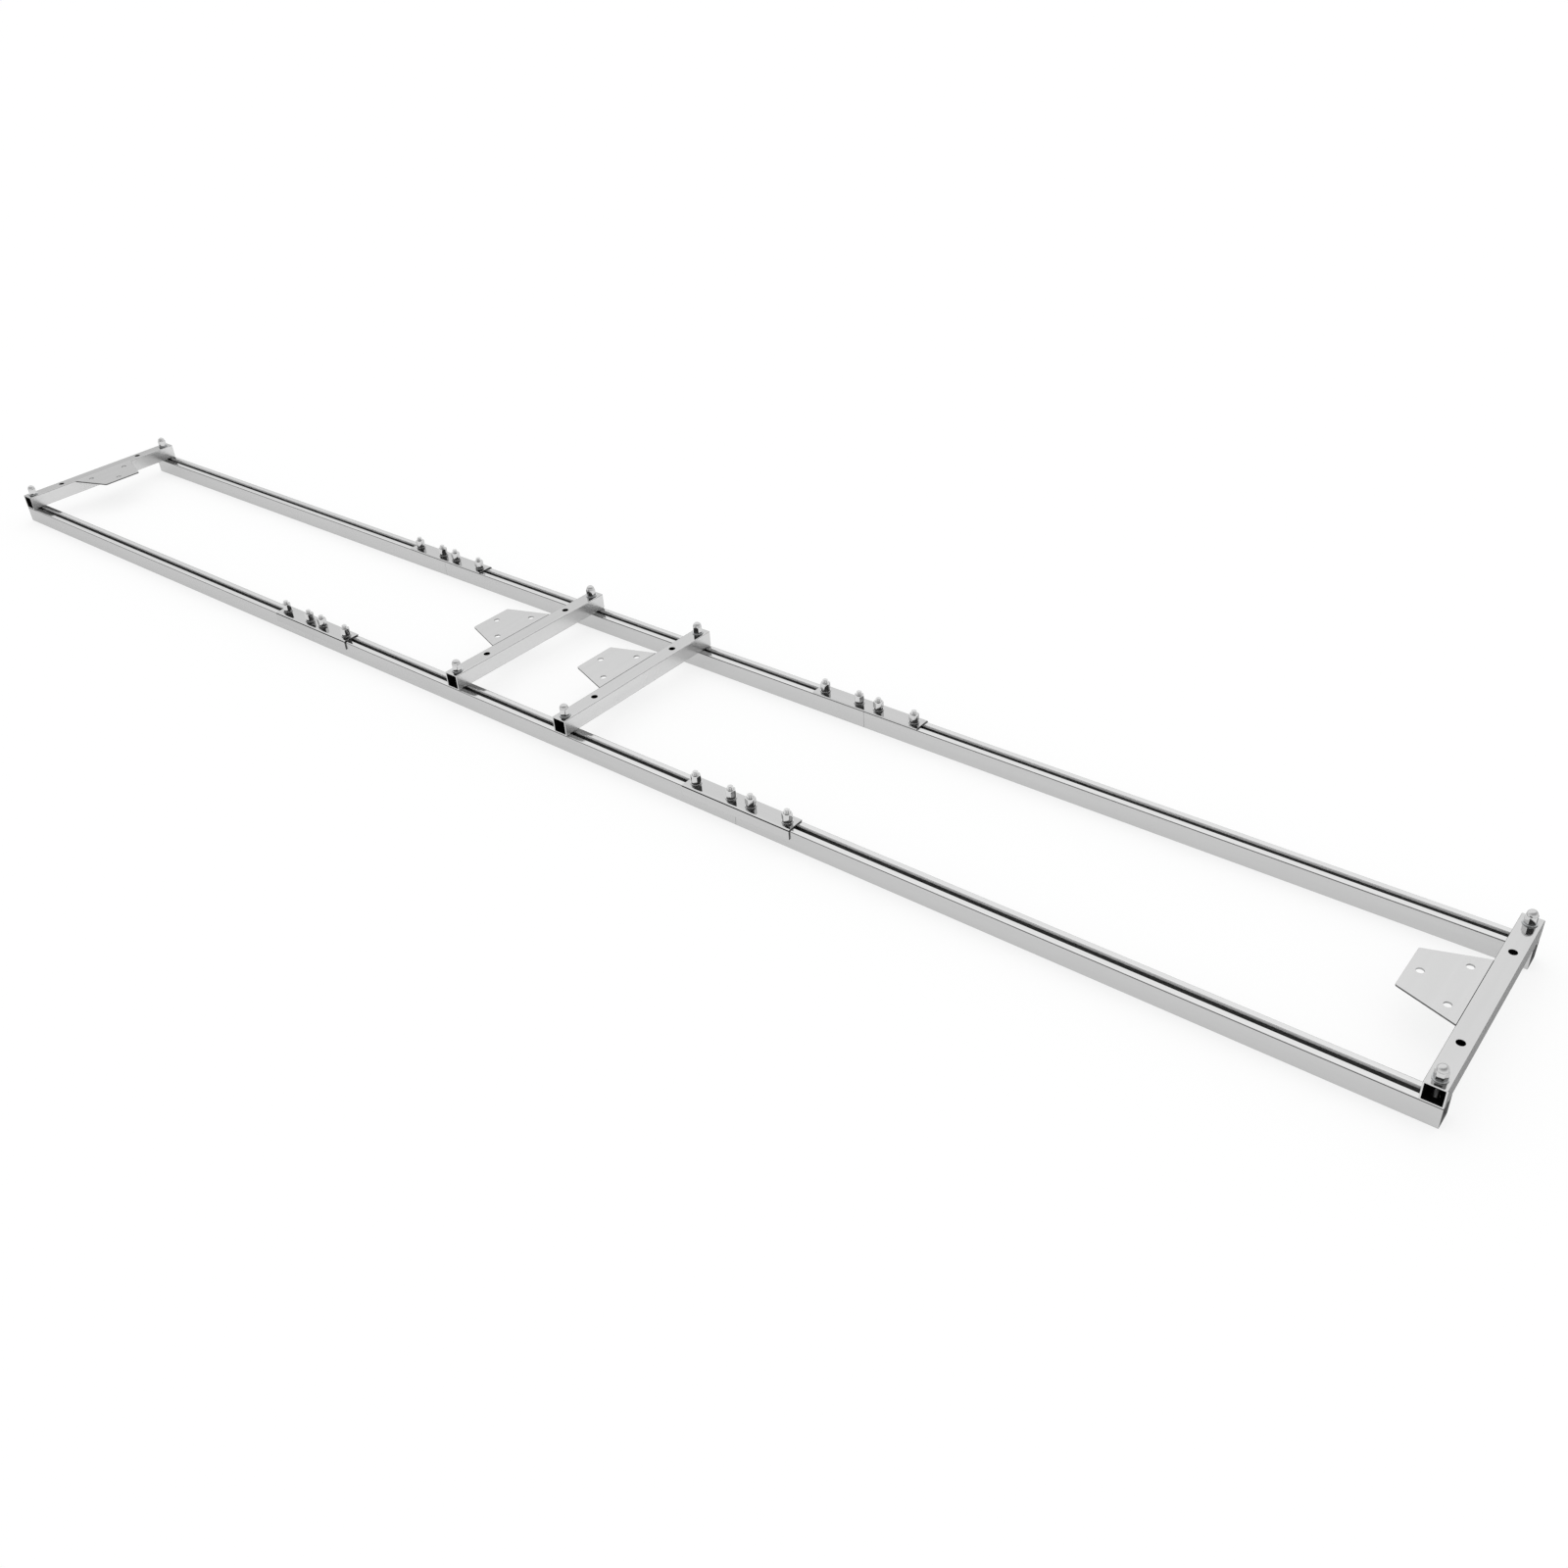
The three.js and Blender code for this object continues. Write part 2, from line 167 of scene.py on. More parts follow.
class MillFastenerSettings(bpy.types.PropertyGroup):
    thread: length("Thread", "Outer diameter of the thread", 8 * MM)
    pitch: length("Pitch", "Rise of the thread in one turn", 1.25 * MM)
    point: length("Point", "Chamfer on the bolt's end", 0.8 * MM)
    head_length: length("Head length", "Length of the bolt's head along the rail", 16 * MM)
    head_thickness: length("Head thickness", "Thickness of the bolt's head", 4 * MM)
    head_corner: length("Head corner", "Radius of the head's upright corners", 1.5 * MM)
    head_round: length("Head round", "Radius of the head's level edges", 0.4 * MM)
    nut_width: length("Nut width", "Width across the nut's flats", 13 * MM)
    nut_height: length("Nut height", "Height of the splice nuts", 10 * MM)
    washer_thickness: length("Washer thickness", "Thickness of the flat washers", 1.6 * MM)
    washer_round: length("Washer round", "Radius of the flat washers' edges", 0.3 * MM)
    washer_gap: length("Washer gap", "Gap between a stud and its splice washers", 0.2 * MM)
    splice_washer: length("Splice washer", "Diameter of the splice washers", 16 * MM)
    lock_washer: length("Lock washer", "Outer diameter of the split lock washers", 13.2 * MM)
    lock_thickness: length("Lock thickness", "Thickness of the split lock washers", 2 * MM)
    lock_gap: degrees("Lock gap", "Angle of the split in a lock washer", 9)
    cap_hex: length("Cap hexagon", "Height of the cap nut's hexagon", 10 * MM)
    cap_dome: length("Cap dome", "Diameter of the cap nut's dome", 12.5 * MM)
    cap_gap: length("Cap gap", "Gap between a stud and its clamp washer and cap nut", 0.3 * MM)
    cap_room: length("Cap room", "Room over the bolt's end inside the cap nut", 1 * MM)
    neck_depth: length("Neck depth", "Depth of the groove between hexagon and dome", 0.15 * MM)
    neck_height: length("Neck height", "Height of that groove, and of the slope above it", 0.2 * MM)
    hex_sharpness: FloatProperty(name="Hexagon sharpness", default=60, min=10, max=200,
                                 description="Higher makes the nuts' corners sharper")
    nut_colour: shade("Nut colour", "the polished nuts", 0.65)
    dome_colour: shade("Dome colour", "the pressed domes of the cap nuts", 0.64)
    bolt_colour: shade("Bolt colour", "the plated bolts and washers", 0.70)
    lock_colour: shade("Lock colour", "the lock washers' spring steel", 0.22)
    # The shank colour is painted shade on the clamp bolts, which sit inside the tubes.
    shank_shade_colour: shade("Shank colour", "the clamp bolts' oiled shanks", 0.25)


class MillStageSettings(bpy.types.PropertyGroup):
    camera_place: spot("Camera", "Where the camera stands", (1.54604, -1.32617, 1.15394))
    camera_aim: spot("Aim", "The point on the floor that the camera looks at", (0.44953, -0.04596, 0.0))
    camera_roll: degrees("Roll", "Turn of the camera about its line of sight", -3.777)
    lens: FloatProperty(name="Lens", default=34.0514, description="Focal length in mm on a 36 mm sensor")
    floor: length("Floor", "Width of the floor", 40.0)
    floor_colour: shade("Floor colour", "the floor", 0.92)
    floor_shadow: amount("Floor shadow", "How much of the object's shadow the white floor keeps", 0.25)
    lamp_strength: FloatProperty(name="Lamp", description="Strength of the soft lamp overhead", default=0.35)
    lamp_spread: degrees("Lamp spread", "Apparent width of the lamp, which softens its shadows", 60)


# Shapes worked out as whole arrays
def unit(vectors):
    return vectors / np.linalg.norm(vectors, axis=-1, keepdims=True)


def rectangle(left, bottom, right, top):
    return [(left, bottom), (right, bottom), (right, top), (left, top)]


def rounded_outline(corners, radii, steps=8):
    """Closed outline through the corners, with an arc at each that touches both of its sides.

    An arc's centre lies on the corner's bisector at radius / sin(half the corner's angle), and its
    points turn evenly from one touching point to the other.
    """
    corners = np.asarray(corners, float)
    radii = np.broadcast_to(np.asarray(radii, float), len(corners))[:, None]
    back = unit(np.roll(corners, 1, axis=0) - corners)
    ahead = unit(np.roll(corners, -1, axis=0) - corners)
    bisector = unit(back + ahead)
    half = np.arccos((back * bisector).sum(1, keepdims=True))
    centre = corners + bisector * radii / np.sin(half)
    first = corners + back * radii / np.tan(half) - centre
    last = corners + ahead * radii / np.tan(half) - centre
    turn = np.sign(first[:, :1] * last[:, 1:] - first[:, 1:] * last[:, :1])
    across = np.stack([-first[:, 1], first[:, 0]], 1) * turn
    angle = ((math.pi - 2 * half) * np.linspace(0, 1, steps + 1))[..., None]
    points = centre[:, None] + np.cos(angle) * first[:, None] + np.sin(angle) * across[:, None]
    return points.reshape(-1, 2)


def outline_normals(outline):
    """Unit normals of a closed outline, from the chord between each point's two neighbours."""
    chord = np.roll(outline, -1, axis=0) - np.roll(outline, 1, axis=0)
    return unit(np.stack([chord[:, 1], -chord[:, 0]], 1))


def grid_faces(rows, columns, closed_rows=False, start=0):
    """Quads between neighbouring points of a grid whose last column joins the first."""
    row = np.arange(rows if closed_rows else rows - 1)[:, None]
    column = np.arange(columns)[None, :]
    next_row = (row + 1) % rows
    next_column = (column + 1) % columns
    corners = [row * columns + column, row * columns + next_column,
               next_row * columns + next_column, next_row * columns + column]
    return (np.stack(np.broadcast_arrays(*corners), -1).reshape(-1, 4) + start).tolist()


def end_faces(rows, columns, start=0):
    """One face over the first row and one over the last, wound to match the grid's quads between them."""
    last = start + columns * (rows - 1)
    return [list(range(start, start + columns))[::-1], list(range(last, last + columns))]


def rounded_ends(low, high, radius, steps=3):
    """Stations from low to high with a quarter round at each end, and how far each pulls in."""
    angle = np.linspace(0, math.pi / 2, steps + 1)
    pull = radius * (1 - np.sin(angle))
    rise = radius * (1 - np.cos(angle))
    stations = np.concatenate([low + rise, high - rise[::-1]])
    return stations, np.concatenate([pull, pull[::-1]])


def swept(outline, stations, pulls):
    """An outline in u and v carried along w: each station's points are pulled in along their normals."""
    ring = outline[None] - outline_normals(outline)[None] * pulls[:, None, None]
    w = np.broadcast_to(stations[:, None, None], (len(stations), len(outline), 1))
    return np.concatenate([ring, w], -1)


def along_axis(grid, axis):
    """Points with u, v and w laid on Y, Z and X, on X, Z and Y, or on X, Y and Z."""
    order = {"X": (2, 0, 1), "Y": (0, 2, 1), "Z": (0, 1, 2)}[axis]
    return grid[..., order].reshape(-1, 3)


def mended(mesh, mend):
    """The mesh after a function has worked on it in bmesh."""
    work = bmesh.new()
    work.from_mesh(mesh)
    mend(work)
    work.to_mesh(mesh)
    work.free()
    return mesh


def face_outwards(work):
    """Turns all faces round if the volume that they enclose comes out negative."""
    if work.calc_volume(signed=True) < 0:
        bmesh.ops.reverse_faces(work, faces=work.faces)


def drop_slivers(work):
    bmesh.ops.dissolve_degenerate(work, edges=work.edges, dist=SLIVER)


def closed_mesh(points, faces):
    mesh = bpy.data.meshes.new("shape")
    mesh.from_pydata(points.tolist(), [], faces)
    return mended(mesh, face_outwards)


def bar_mesh(outline, axis, low, high, end_round):
    """A solid bar: its outline swept along an axis, with one flat face at each rounded end."""
    stations, pulls = rounded_ends(low, high, end_round)
    points = along_axis(swept(outline, stations, pulls), axis)
    rows, columns = len(stations), len(outline)
    return closed_mesh(points, grid_faces(rows, columns) + end_faces(rows, columns))


def pipe_mesh(outer, inner, axis, low, high, end_round):
    """An open pipe: an outer and an inner outline swept together, with a ring between them at each end."""
    stations, pulls = rounded_ends(low, high, end_round)
    walls = [swept(outer, stations, pulls), swept(inner, stations, -pulls)[::-1]]
    points = along_axis(np.concatenate(walls), axis)
    return closed_mesh(points, grid_faces(2 * len(stations), len(outer), closed_rows=True))


def turned_mesh(rows, sides, poles=False):
    """A surface turned about Z. A row is a radius and a height, each a number or an array round the turn.

    With poles, the first and last rows close on the axis. Without, the last row joins the first.
    """
    radius, height = (np.stack([np.broadcast_to(part, sides) for part in parts]) for parts in zip(*rows))
    angle = np.linspace(0, 2 * math.pi, sides, endpoint=False)
    points = np.stack([radius * np.cos(angle), radius * np.sin(angle), height], -1).reshape(-1, 3)
    count = len(radius)
    faces = grid_faces(count, sides, closed_rows=not poles)
    if poles:
        centres = [[0, 0, height[0].mean()], [0, 0, height[-1].mean()]]
        points = np.concatenate([points, centres])
        column = np.arange(sides)
        following = (column + 1) % sides
        top = (count - 1) * sides
        first = np.stack([following, column, np.full(sides, count * sides)], 1)
        last = np.stack([column + top, following + top, np.full(sides, count * sides + 1)], 1)
        faces += first.tolist() + last.tolist()
    return closed_mesh(points, faces)


def hexagon(sides, width, sharpness):
    """Radius of a hexagon of the given width across flats, its corners softened.

    It is half the width over the p-norm of the six cosines of the angles from the flats, where p is
    the sharpness.
    """
    angle = np.linspace(0, 2 * math.pi, sides, endpoint=False)[:, None]
    flats = np.arange(6)[None, :] * math.pi / 3
    cosines = np.clip(np.cos(angle - flats), 0, None)
    return width / 2 / (cosines ** sharpness).sum(1) ** (1 / sharpness)


def new_object(name, data):
    """An object in the scene that holds a mesh, a lamp or a camera."""
    made = bpy.data.objects.new(name, data)
    bpy.context.scene.collection.objects.link(made)
    return made


def evaluated(mesh, modify):
    """A new mesh: the given one after the modifiers that modify() puts on its object."""
    work = new_object("work", mesh)
    modify(work)
    bpy.context.view_layer.update()
    graph = bpy.context.evaluated_depsgraph_get()
    result = bpy.data.meshes.new_from_object(work.evaluated_get(graph))
    bpy.data.objects.remove(work)
    return result


def combined(mesh, other, operation, rim=0.0):
    """The mesh with the other mesh cut from it or joined to it, and its right-angled rims rounded."""
    tool = new_object("tool", other)

    def modify(work):
        cut = work.modifiers.new("cut", "BOOLEAN")
        cut.operation = operation
        cut.solver = "EXACT"
        cut.object = tool
        if rim:
            bevel = work.modifiers.new("rim", "BEVEL")
            bevel.width = rim
            bevel.segments = 2
            bevel.limit_method = "ANGLE"
            bevel.angle_limit = math.radians(60)

    result = evaluated(mesh, modify)
    bpy.data.objects.remove(tool)
    return mended(result, drop_slivers)


def drilled(mesh, places, diameter, low, high, rim=0.0, sides=40):
    """The mesh with an upright hole at each place: cylinders that stand past low and high are cut from it."""
    angle = np.linspace(0, 2 * math.pi, sides, endpoint=False)
    ring = np.stack([np.cos(angle), np.sin(angle)], 1) * diameter / 2
    over = high - low
    points, faces = [], []
    for index, place in enumerate(places):
        start = 2 * sides * index
        for level in (low - over, high + over):
            points.append(np.concatenate([ring + np.asarray(place), np.full((sides, 1), level)], 1))
        faces += grid_faces(2, sides, start=start) + end_faces(2, sides, start)
    drills = closed_mesh(np.concatenate(points), faces)
    return combined(mesh, drills, "DIFFERENCE", rim)


def face_values(mesh, field):
    """Three numbers for each face: its centre or its normal."""
    values = np.zeros(len(mesh.polygons) * 3)
    mesh.polygons.foreach_get(field, values)
    return values.reshape(-1, 3)


def mark_faces(mesh, mask, index):
    """Gives the faces of the mask the material slot of that index."""
    slots = np.zeros(len(mesh.polygons), dtype=np.int32)
    mesh.polygons.foreach_get("material_index", slots)
    slots[mask] = index
    mesh.polygons.foreach_set("material_index", slots)


# The least part along an axis of the unit normal of a face that looks along that axis
FLAT = 0.8
# The upward part of the unit normal where a bend has its dark line, a painted reflection, 46 to 65 degrees
# from level
PAINTED_BEND_BAND = (0.42, 0.69)


def mark_painted_bend(mesh, bends, index):
    """Gives that slot to those faces of the bends that make their dark line, a painted reflection."""
    upward = face_values(mesh, "normal")[:, 2]
    mark_faces(mesh, bends & (upward > PAINTED_BEND_BAND[0]) & (upward < PAINTED_BEND_BAND[1]), index)


def placed(mesh, x=0.0, y=0.0, turn=0.0):
    copy = mesh.copy()
    copy.transform(Matrix.Translation((x, y, 0)) @ Matrix.Rotation(turn, 4, "Z"))
    return copy


def flat_where_flat(work):
    """Normals weighted by area: large faces stay flat, and the small rounds between them take the turn."""
    weigh = work.modifiers.new("weigh", "WEIGHTED_NORMAL")
    weigh.mode = "FACE_AREA"
    weigh.weight = 50
    weigh.keep_sharp = True


def add_piece(name, mesh, materials, slot, body, *nodes):
    """Adds a finished mesh as a piece that rides on a body and stands for its CAD nodes."""
    for material in materials:
        mesh.materials.append(material)
    mesh.shade_smooth()
    mesh.set_sharp_from_angle(angle=math.radians(35))
    mesh = evaluated(mesh, flat_where_flat)
    mesh.name = name
    piece = new_object(name, mesh)
    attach(piece, body)
    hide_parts(*nodes)


# Nodes
def cleared_tree(owner):
    """The emptied node tree of a material or a world."""
    owner.use_nodes = True
    owner.node_tree.nodes.clear()
    return owner.node_tree


def add_node(tree, kind, inputs, **settings):
    """A new node with its settings, and its inputs linked where a socket is given and set otherwise."""
    node = tree.nodes.new(kind)
    for name, value in settings.items():
        setattr(node, name, value)
    for name, value in inputs.items():
        if isinstance(value, bpy.types.NodeSocket):
            tree.links.new(value, node.inputs[name])
        else:
            node.inputs[name].default_value = value
    return node


def sum_of(tree, operation, *values):
    """The result of a Math node that works on those numbers and sockets."""
    return add_node(tree, "ShaderNodeMath", dict(enumerate(values)), operation=operation).outputs[0]


def smooth_step(tree, value, marks, results=(0, 1)):
    """A value that goes smoothly from the first result to the second between the two marks."""
    (low, high), (first, second) = marks, results
    return add_node(tree, "ShaderNodeMapRange", {
        "Value": value, "From Min": low, "From Max": high, "To Min": first, "To Max": second,
    }, interpolation_type="SMOOTHSTEP").outputs["Result"]


def mixed_shader(tree, factor, first, second):
    """The first shader where the factor is 0 and the second where it is 1."""
    return add_node(tree, "ShaderNodeMixShader", {0: factor, 1: first, 2: second}).outputs[0]


def node_group(name, inputs, outputs, fill):
    """The shader node group of that name, made when it is first asked for.

    Each input has a vector or a number as its default. fill() adds the nodes and returns a socket for
    each output in turn.
    """
    found = bpy.data.node_groups.get(name)
    if found:
        return found
    group = bpy.data.node_groups.new(name, "ShaderNodeTree")
    for label, default in inputs.items():
        kind = "NodeSocketVector" if isinstance(default, tuple) else "NodeSocketFloat"
        group.interface.new_socket(label, in_out="INPUT", socket_type=kind).default_value = default
    for label in outputs:
        group.interface.new_socket(label, in_out="OUTPUT", socket_type="NodeSocketFloat")
    given = group.nodes.new("NodeGroupInput")
    result = group.nodes.new("NodeGroupOutput")
    for label, socket in zip(outputs, fill(group, given.outputs)):
        group.links.new(socket, result.inputs[label])
    return group


# Shared effects
def drawn_grain():
    """Drawn grain: noise stretched along one axis, fine as height and broad as streaks."""
    broad_share = 0.12

    def fill(tree, given):
        stretch = add_node(tree, "ShaderNodeVectorMath", {0: given["Coordinates"], 1: given["Stretch"]},
                           operation="MULTIPLY")
        broad_scale = sum_of(tree, "MULTIPLY", given["Scale"], broad_share)
        for scale, detail in ((given["Scale"], 3), (broad_scale, 4)):
            noise = {"Vector": stretch.outputs[0], "Scale": scale, "Detail": detail}
            yield add_node(tree, "ShaderNodeTexNoise", noise).outputs["Fac"]

    inputs = {"Coordinates": (0, 0, 0), "Stretch": (1, 1, 1), "Scale": 900.0}
    return node_group("drawn_grain", inputs, ("Height", "Streaks"), fill)


def handling_marks():
    """Handling marks: soft smudges and sparse specks, as two masks from 0 to 1."""

    def fill(tree, given):
        cloud = add_node(tree, "ShaderNodeTexNoise", {
            "Vector": given["Coordinates"], "Scale": given["Smudge scale"], "Detail": 5, "Distortion": 0.6,
        })
        dots = add_node(tree, "ShaderNodeTexVoronoi", {
            "Vector": given["Coordinates"], "Scale": given["Speck scale"],
        })
        for value, low, high in ((cloud.outputs["Fac"], 0.45, 0.75), (dots.outputs["Distance"], 0.10, 0.04)):
            ramp = {"Value": value, "From Min": low, "From Max": high}
            yield add_node(tree, "ShaderNodeMapRange", ramp).outputs["Result"]

    inputs = {"Coordinates": (0, 0, 0), "Smudge scale": 14.0, "Speck scale": 420.0}
    return node_group("handling_marks", inputs, ("Smudges", "Specks"), fill)


def facing_up():
    """How far a surface faces up in its own object, from 0 on the sides to 1 on the top."""

    def fill(tree, given):
        parts = add_node(tree, "ShaderNodeSeparateXYZ", {0: given["Normal"]})
        return [smooth_step(tree, parts.outputs["Z"], (0.75, 0.97))]

    return node_group("facing_up", {"Normal": (0, 0, 0)}, ("Mask",), fill)


# Materials. A stretch draws the grain out along the axis whose number is small.
ALONG_X = (0.04, 1, 1)
ALONG_Y = (1, 0.04, 1)
UPRIGHT = (1, 1, 0.15)
EVEN = (1, 1, 1)


def metal_material(name, colour, stretch, rough, tint, metallic=1.0, lit_top_colour=None, grain=0.04,
                   smudge=0.04):
    """Bare metal with drawn grain and handling marks.

    The tint is how bright it stays where it is seen at a grazing angle. Faces that look up take the top
    colour where one is given, painted light that makes them lighter than the sides.
    """
    material = bpy.data.materials.new(name)
    material.diffuse_color = (*colour, 1)
    tree = cleared_tree(material)
    place = tree.nodes.new("ShaderNodeTexCoord").outputs
    drawn = add_node(tree, "ShaderNodeGroup", {"Coordinates": place["Object"], "Stretch": stretch},
                     node_tree=drawn_grain())
    marks = add_node(tree, "ShaderNodeGroup", {"Coordinates": place["Object"]}, node_tree=handling_marks())
    base = (*colour, 1)
    if lit_top_colour:
        up = add_node(tree, "ShaderNodeGroup", {"Normal": place["Normal"]}, node_tree=facing_up())
        base = add_node(tree, "ShaderNodeMix", {
            "Factor": up.outputs["Mask"], "A": (*colour, 1), "B": (*lit_top_colour, 1),
        }, data_type="RGBA").outputs["Result"]
    streaks = add_node(tree, "ShaderNodeMapRange", {
        "Value": drawn.outputs["Streaks"], "To Min": 1 - grain, "To Max": 1 + grain,
    })
    streaked = add_node(tree, "ShaderNodeMix", {
        "Factor": 1, "A": base, "B": streaks.outputs["Result"],
    }, data_type="RGBA", blend_type="MULTIPLY")
    smudged = sum_of(tree, "MULTIPLY_ADD", marks.outputs["Smudges"], smudge, rough)
    specked = sum_of(tree, "MULTIPLY_ADD", marks.outputs["Specks"], smudge, smudged)
    bump = add_node(tree, "ShaderNodeBump", {
        "Height": drawn.outputs["Height"], "Strength": 0.05, "Distance": 0.02 * MM,
    })
    surface = add_node(tree, "ShaderNodeBsdfPrincipled", {
        "Base Color": streaked.outputs["Result"], "Roughness": specked, "Metallic": metallic,
        "Specular Tint": (tint, tint, tint, 1), "Normal": bump.outputs["Normal"],
    })
    # A dull metal takes no second gloss from its matt share.
    if metallic < 1:
        surface.inputs["Specular IOR Level"].default_value = 0
    add_node(tree, "ShaderNodeOutputMaterial", {"Surface": surface.outputs[0]})
    return material


def cut_edge_material(name, colour, rough):
    """A cut, sawn or drilled face in a darker colour: metal with strong upright striations."""
    return metal_material(name, colour, UPRIGHT, rough, tint=0.6, grain=0.3, smudge=0.1)


def rail_materials(rail):
    """Satin sides, polished lips, darkened hollow, dull lining of the slot and dark bend line, in that order.
    The sides' darker and the lips' lighter colour are painted shade and light on one metal, the hollow's dark
    is painted shade, and the bend line is a painted reflection.
    """
    return [
        metal_material("rail_metal", rail.side_colour, ALONG_X, rough=0.24, tint=0.8),
        metal_material("rail_lips", rail.lit_lip_colour, ALONG_X, rough=0.09, tint=0.3),
        metal_material("rail_hollow_shade", rail.hollow_shade_colour, ALONG_X, rough=0.6, tint=0.5, metallic=0.3),
        metal_material("rail_slot_lining", rail.slot_colour, ALONG_X, rough=0.55, tint=0.8, metallic=0.2),
        metal_material("rail_painted_bend", rail.painted_bend_colour, ALONG_X, rough=0.3, tint=0.5),
    ]


def crossbar_materials(bar):
    """Polished top, darkened inside, satin sides and dark bend line, in that order. The inside's near black
    is painted shade, and the bend line is a painted reflection.
    """
    return [
        metal_material("crossbar_metal", bar.colour, ALONG_Y, rough=0.08, tint=0.24),
        metal_material("crossbar_inside_shade", bar.inside_shade_colour, ALONG_Y, rough=0.5, tint=0.5),
        metal_material("crossbar_side", bar.side_colour, ALONG_Y, rough=0.25, tint=0.14, metallic=0.8),
        metal_material("crossbar_painted_bend", bar.painted_bend_colour, ALONG_Y, rough=0.3, tint=0.5),
    ]


# Pieces
class MILL_OT_rails(bpy.types.Operator):
    """Six sections of slotted channel, one profile swept along X"""

    bl_idname = "mill.rails"
    bl_label = "Build rails"

    def execute(self, context):
        rail = context.scene.mill_rails
        half, top, wall = RAIL_HALF, RAIL_HIGH.z, rail.wall
        slot, foot, roof = rail.slot / 2, top - rail.lip_depth, top - wall
        inner_bend = wall / 6
        right = [
            (slot, foot, inner_bend), (slot + wall, foot, inner_bend), (slot + wall, roof, inner_bend),
            (half - wall, roof, inner_bend), (half - wall, wall, inner_bend),
        ]
        left = [(-y, z, r) for y, z, r in reversed(right)]
        outside = [
            (-slot, top, rail.lip_bend), (-half, top, rail.corner), (-half, 0, rail.corner),
            (half, 0, rail.corner), (half, top, rail.corner), (slot, top, rail.lip_bend),
        ]
        profile = np.array(right + left + outside)
        outline = rounded_outline(profile[:, :2], profile[:, 2])
        materials = rail_materials(rail)
        lips, hollow, lining, painted_bend = 1, 2, 3, 4
        for side in SIDES:
            for section in SECTIONS:
                node = f"{side}_rail_{section}"
                low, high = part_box(node)
                mesh = bar_mesh(outline, "X", low.x, high.x, rail.end_round)
                across, height = face_values(mesh, "center").T[1:]
                upward = face_values(mesh, "normal")[:, 2]
                above_foot = height > foot + inner_bend
                mark_faces(mesh, (height > top - rail.corner) & (upward > FLAT), lips)
                # The channel's inside takes the hollow colour, painted shade.
                within = (height > wall / 2) & (abs(across) < half - wall / 2)
                under_lips = (height < top - wall / 2) & (abs(across) > slot + wall / 2)
                mark_faces(mesh, within & (~above_foot | under_lips), hollow)
                # The lining is the slot's upright faces, from just over their foot up into the lips' bends.
                in_slot = (abs(across) < slot + rail.lip_bend / 6) & (height < top - rail.lip_bend / 3)
                mark_faces(mesh, in_slot & above_foot, lining)
                # A band of the upper bends takes the painted reflection line.
                upper_bends = (height > top - rail.corner) & (abs(across) > half - rail.corner)
                mark_painted_bend(mesh, upper_bends, painted_bend)
                mesh = placed(mesh, y=box_centre(node).y)
                add_piece(f"rail_{side}_{section}", mesh, materials, "rail_metal", "frame", node)
        return {"FINISHED"}


class MILL_OT_splices(bpy.types.Operator):
    """Four folded angles over the seams, each drilled for four bolts"""

    bl_idname = "mill.splices"
    bl_label = "Build splices"

    def execute(self, context):
        splice = context.scene.mill_splices
        half, under = RAIL_HALF, RAIL_HIGH.z
        thickness, drop, top = splice.thickness, SPLICE_LOW.z, SPLICE_HIGH.z
        profile = np.array([
            (-half, under, splice.edge_round), (half, under, splice.bend - thickness),
            (half, drop, splice.edge_round), (half + thickness, drop, splice.edge_round),
            (half + thickness, top, splice.bend), (-half, top, splice.edge_round),
        ])
        outline = rounded_outline(profile[:, :2], profile[:, 2])
        materials = [
            # The splice's top takes the lighter top colour as painted light.
            metal_material("splice_metal", splice.leg_colour, ALONG_X, rough=0.06, tint=0.5,
                           lit_top_colour=splice.lit_top_colour),
            cut_edge_material("splice_cut_edge", context.scene.mill_plates.cut_colour, rough=0.4),
            metal_material("splice_painted_bend", splice.painted_bend_colour, ALONG_X, rough=0.3, tint=0.5),
        ]
        cut, painted_bend = 1, 2
        for side in SIDES:
            facing = 1 if side == "back" else -1
            for end in ENDS:
                node = f"{side}_splice_{end}"
                low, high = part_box(node)
                mirrored = (outline * (facing, 1))[::facing]
                mesh = bar_mesh(mirrored, "X", low.x, high.x, splice.edge_round)
                rail_y = box_centre(f"{side}_rail_{end}").y
                mesh = placed(mesh, y=rail_y)
                places = [box_centre(f"{node}_bolt_{bolt}")[:2] for bolt in SPLICE_BOLTS]
                mesh = drilled(mesh, places, splice.hole, under, top)
                mark_faces(mesh, abs(face_values(mesh, "normal")[:, 0]) > FLAT, cut)
                # A band of the fold takes the painted reflection line.
                mark_painted_bend(mesh, abs(face_values(mesh, "center")[:, 1] - rail_y) > half, painted_bend)
                add_piece(f"splice_{side}_{end}", mesh, materials, "splice_metal", "frame", node)
        return {"FINISHED"}


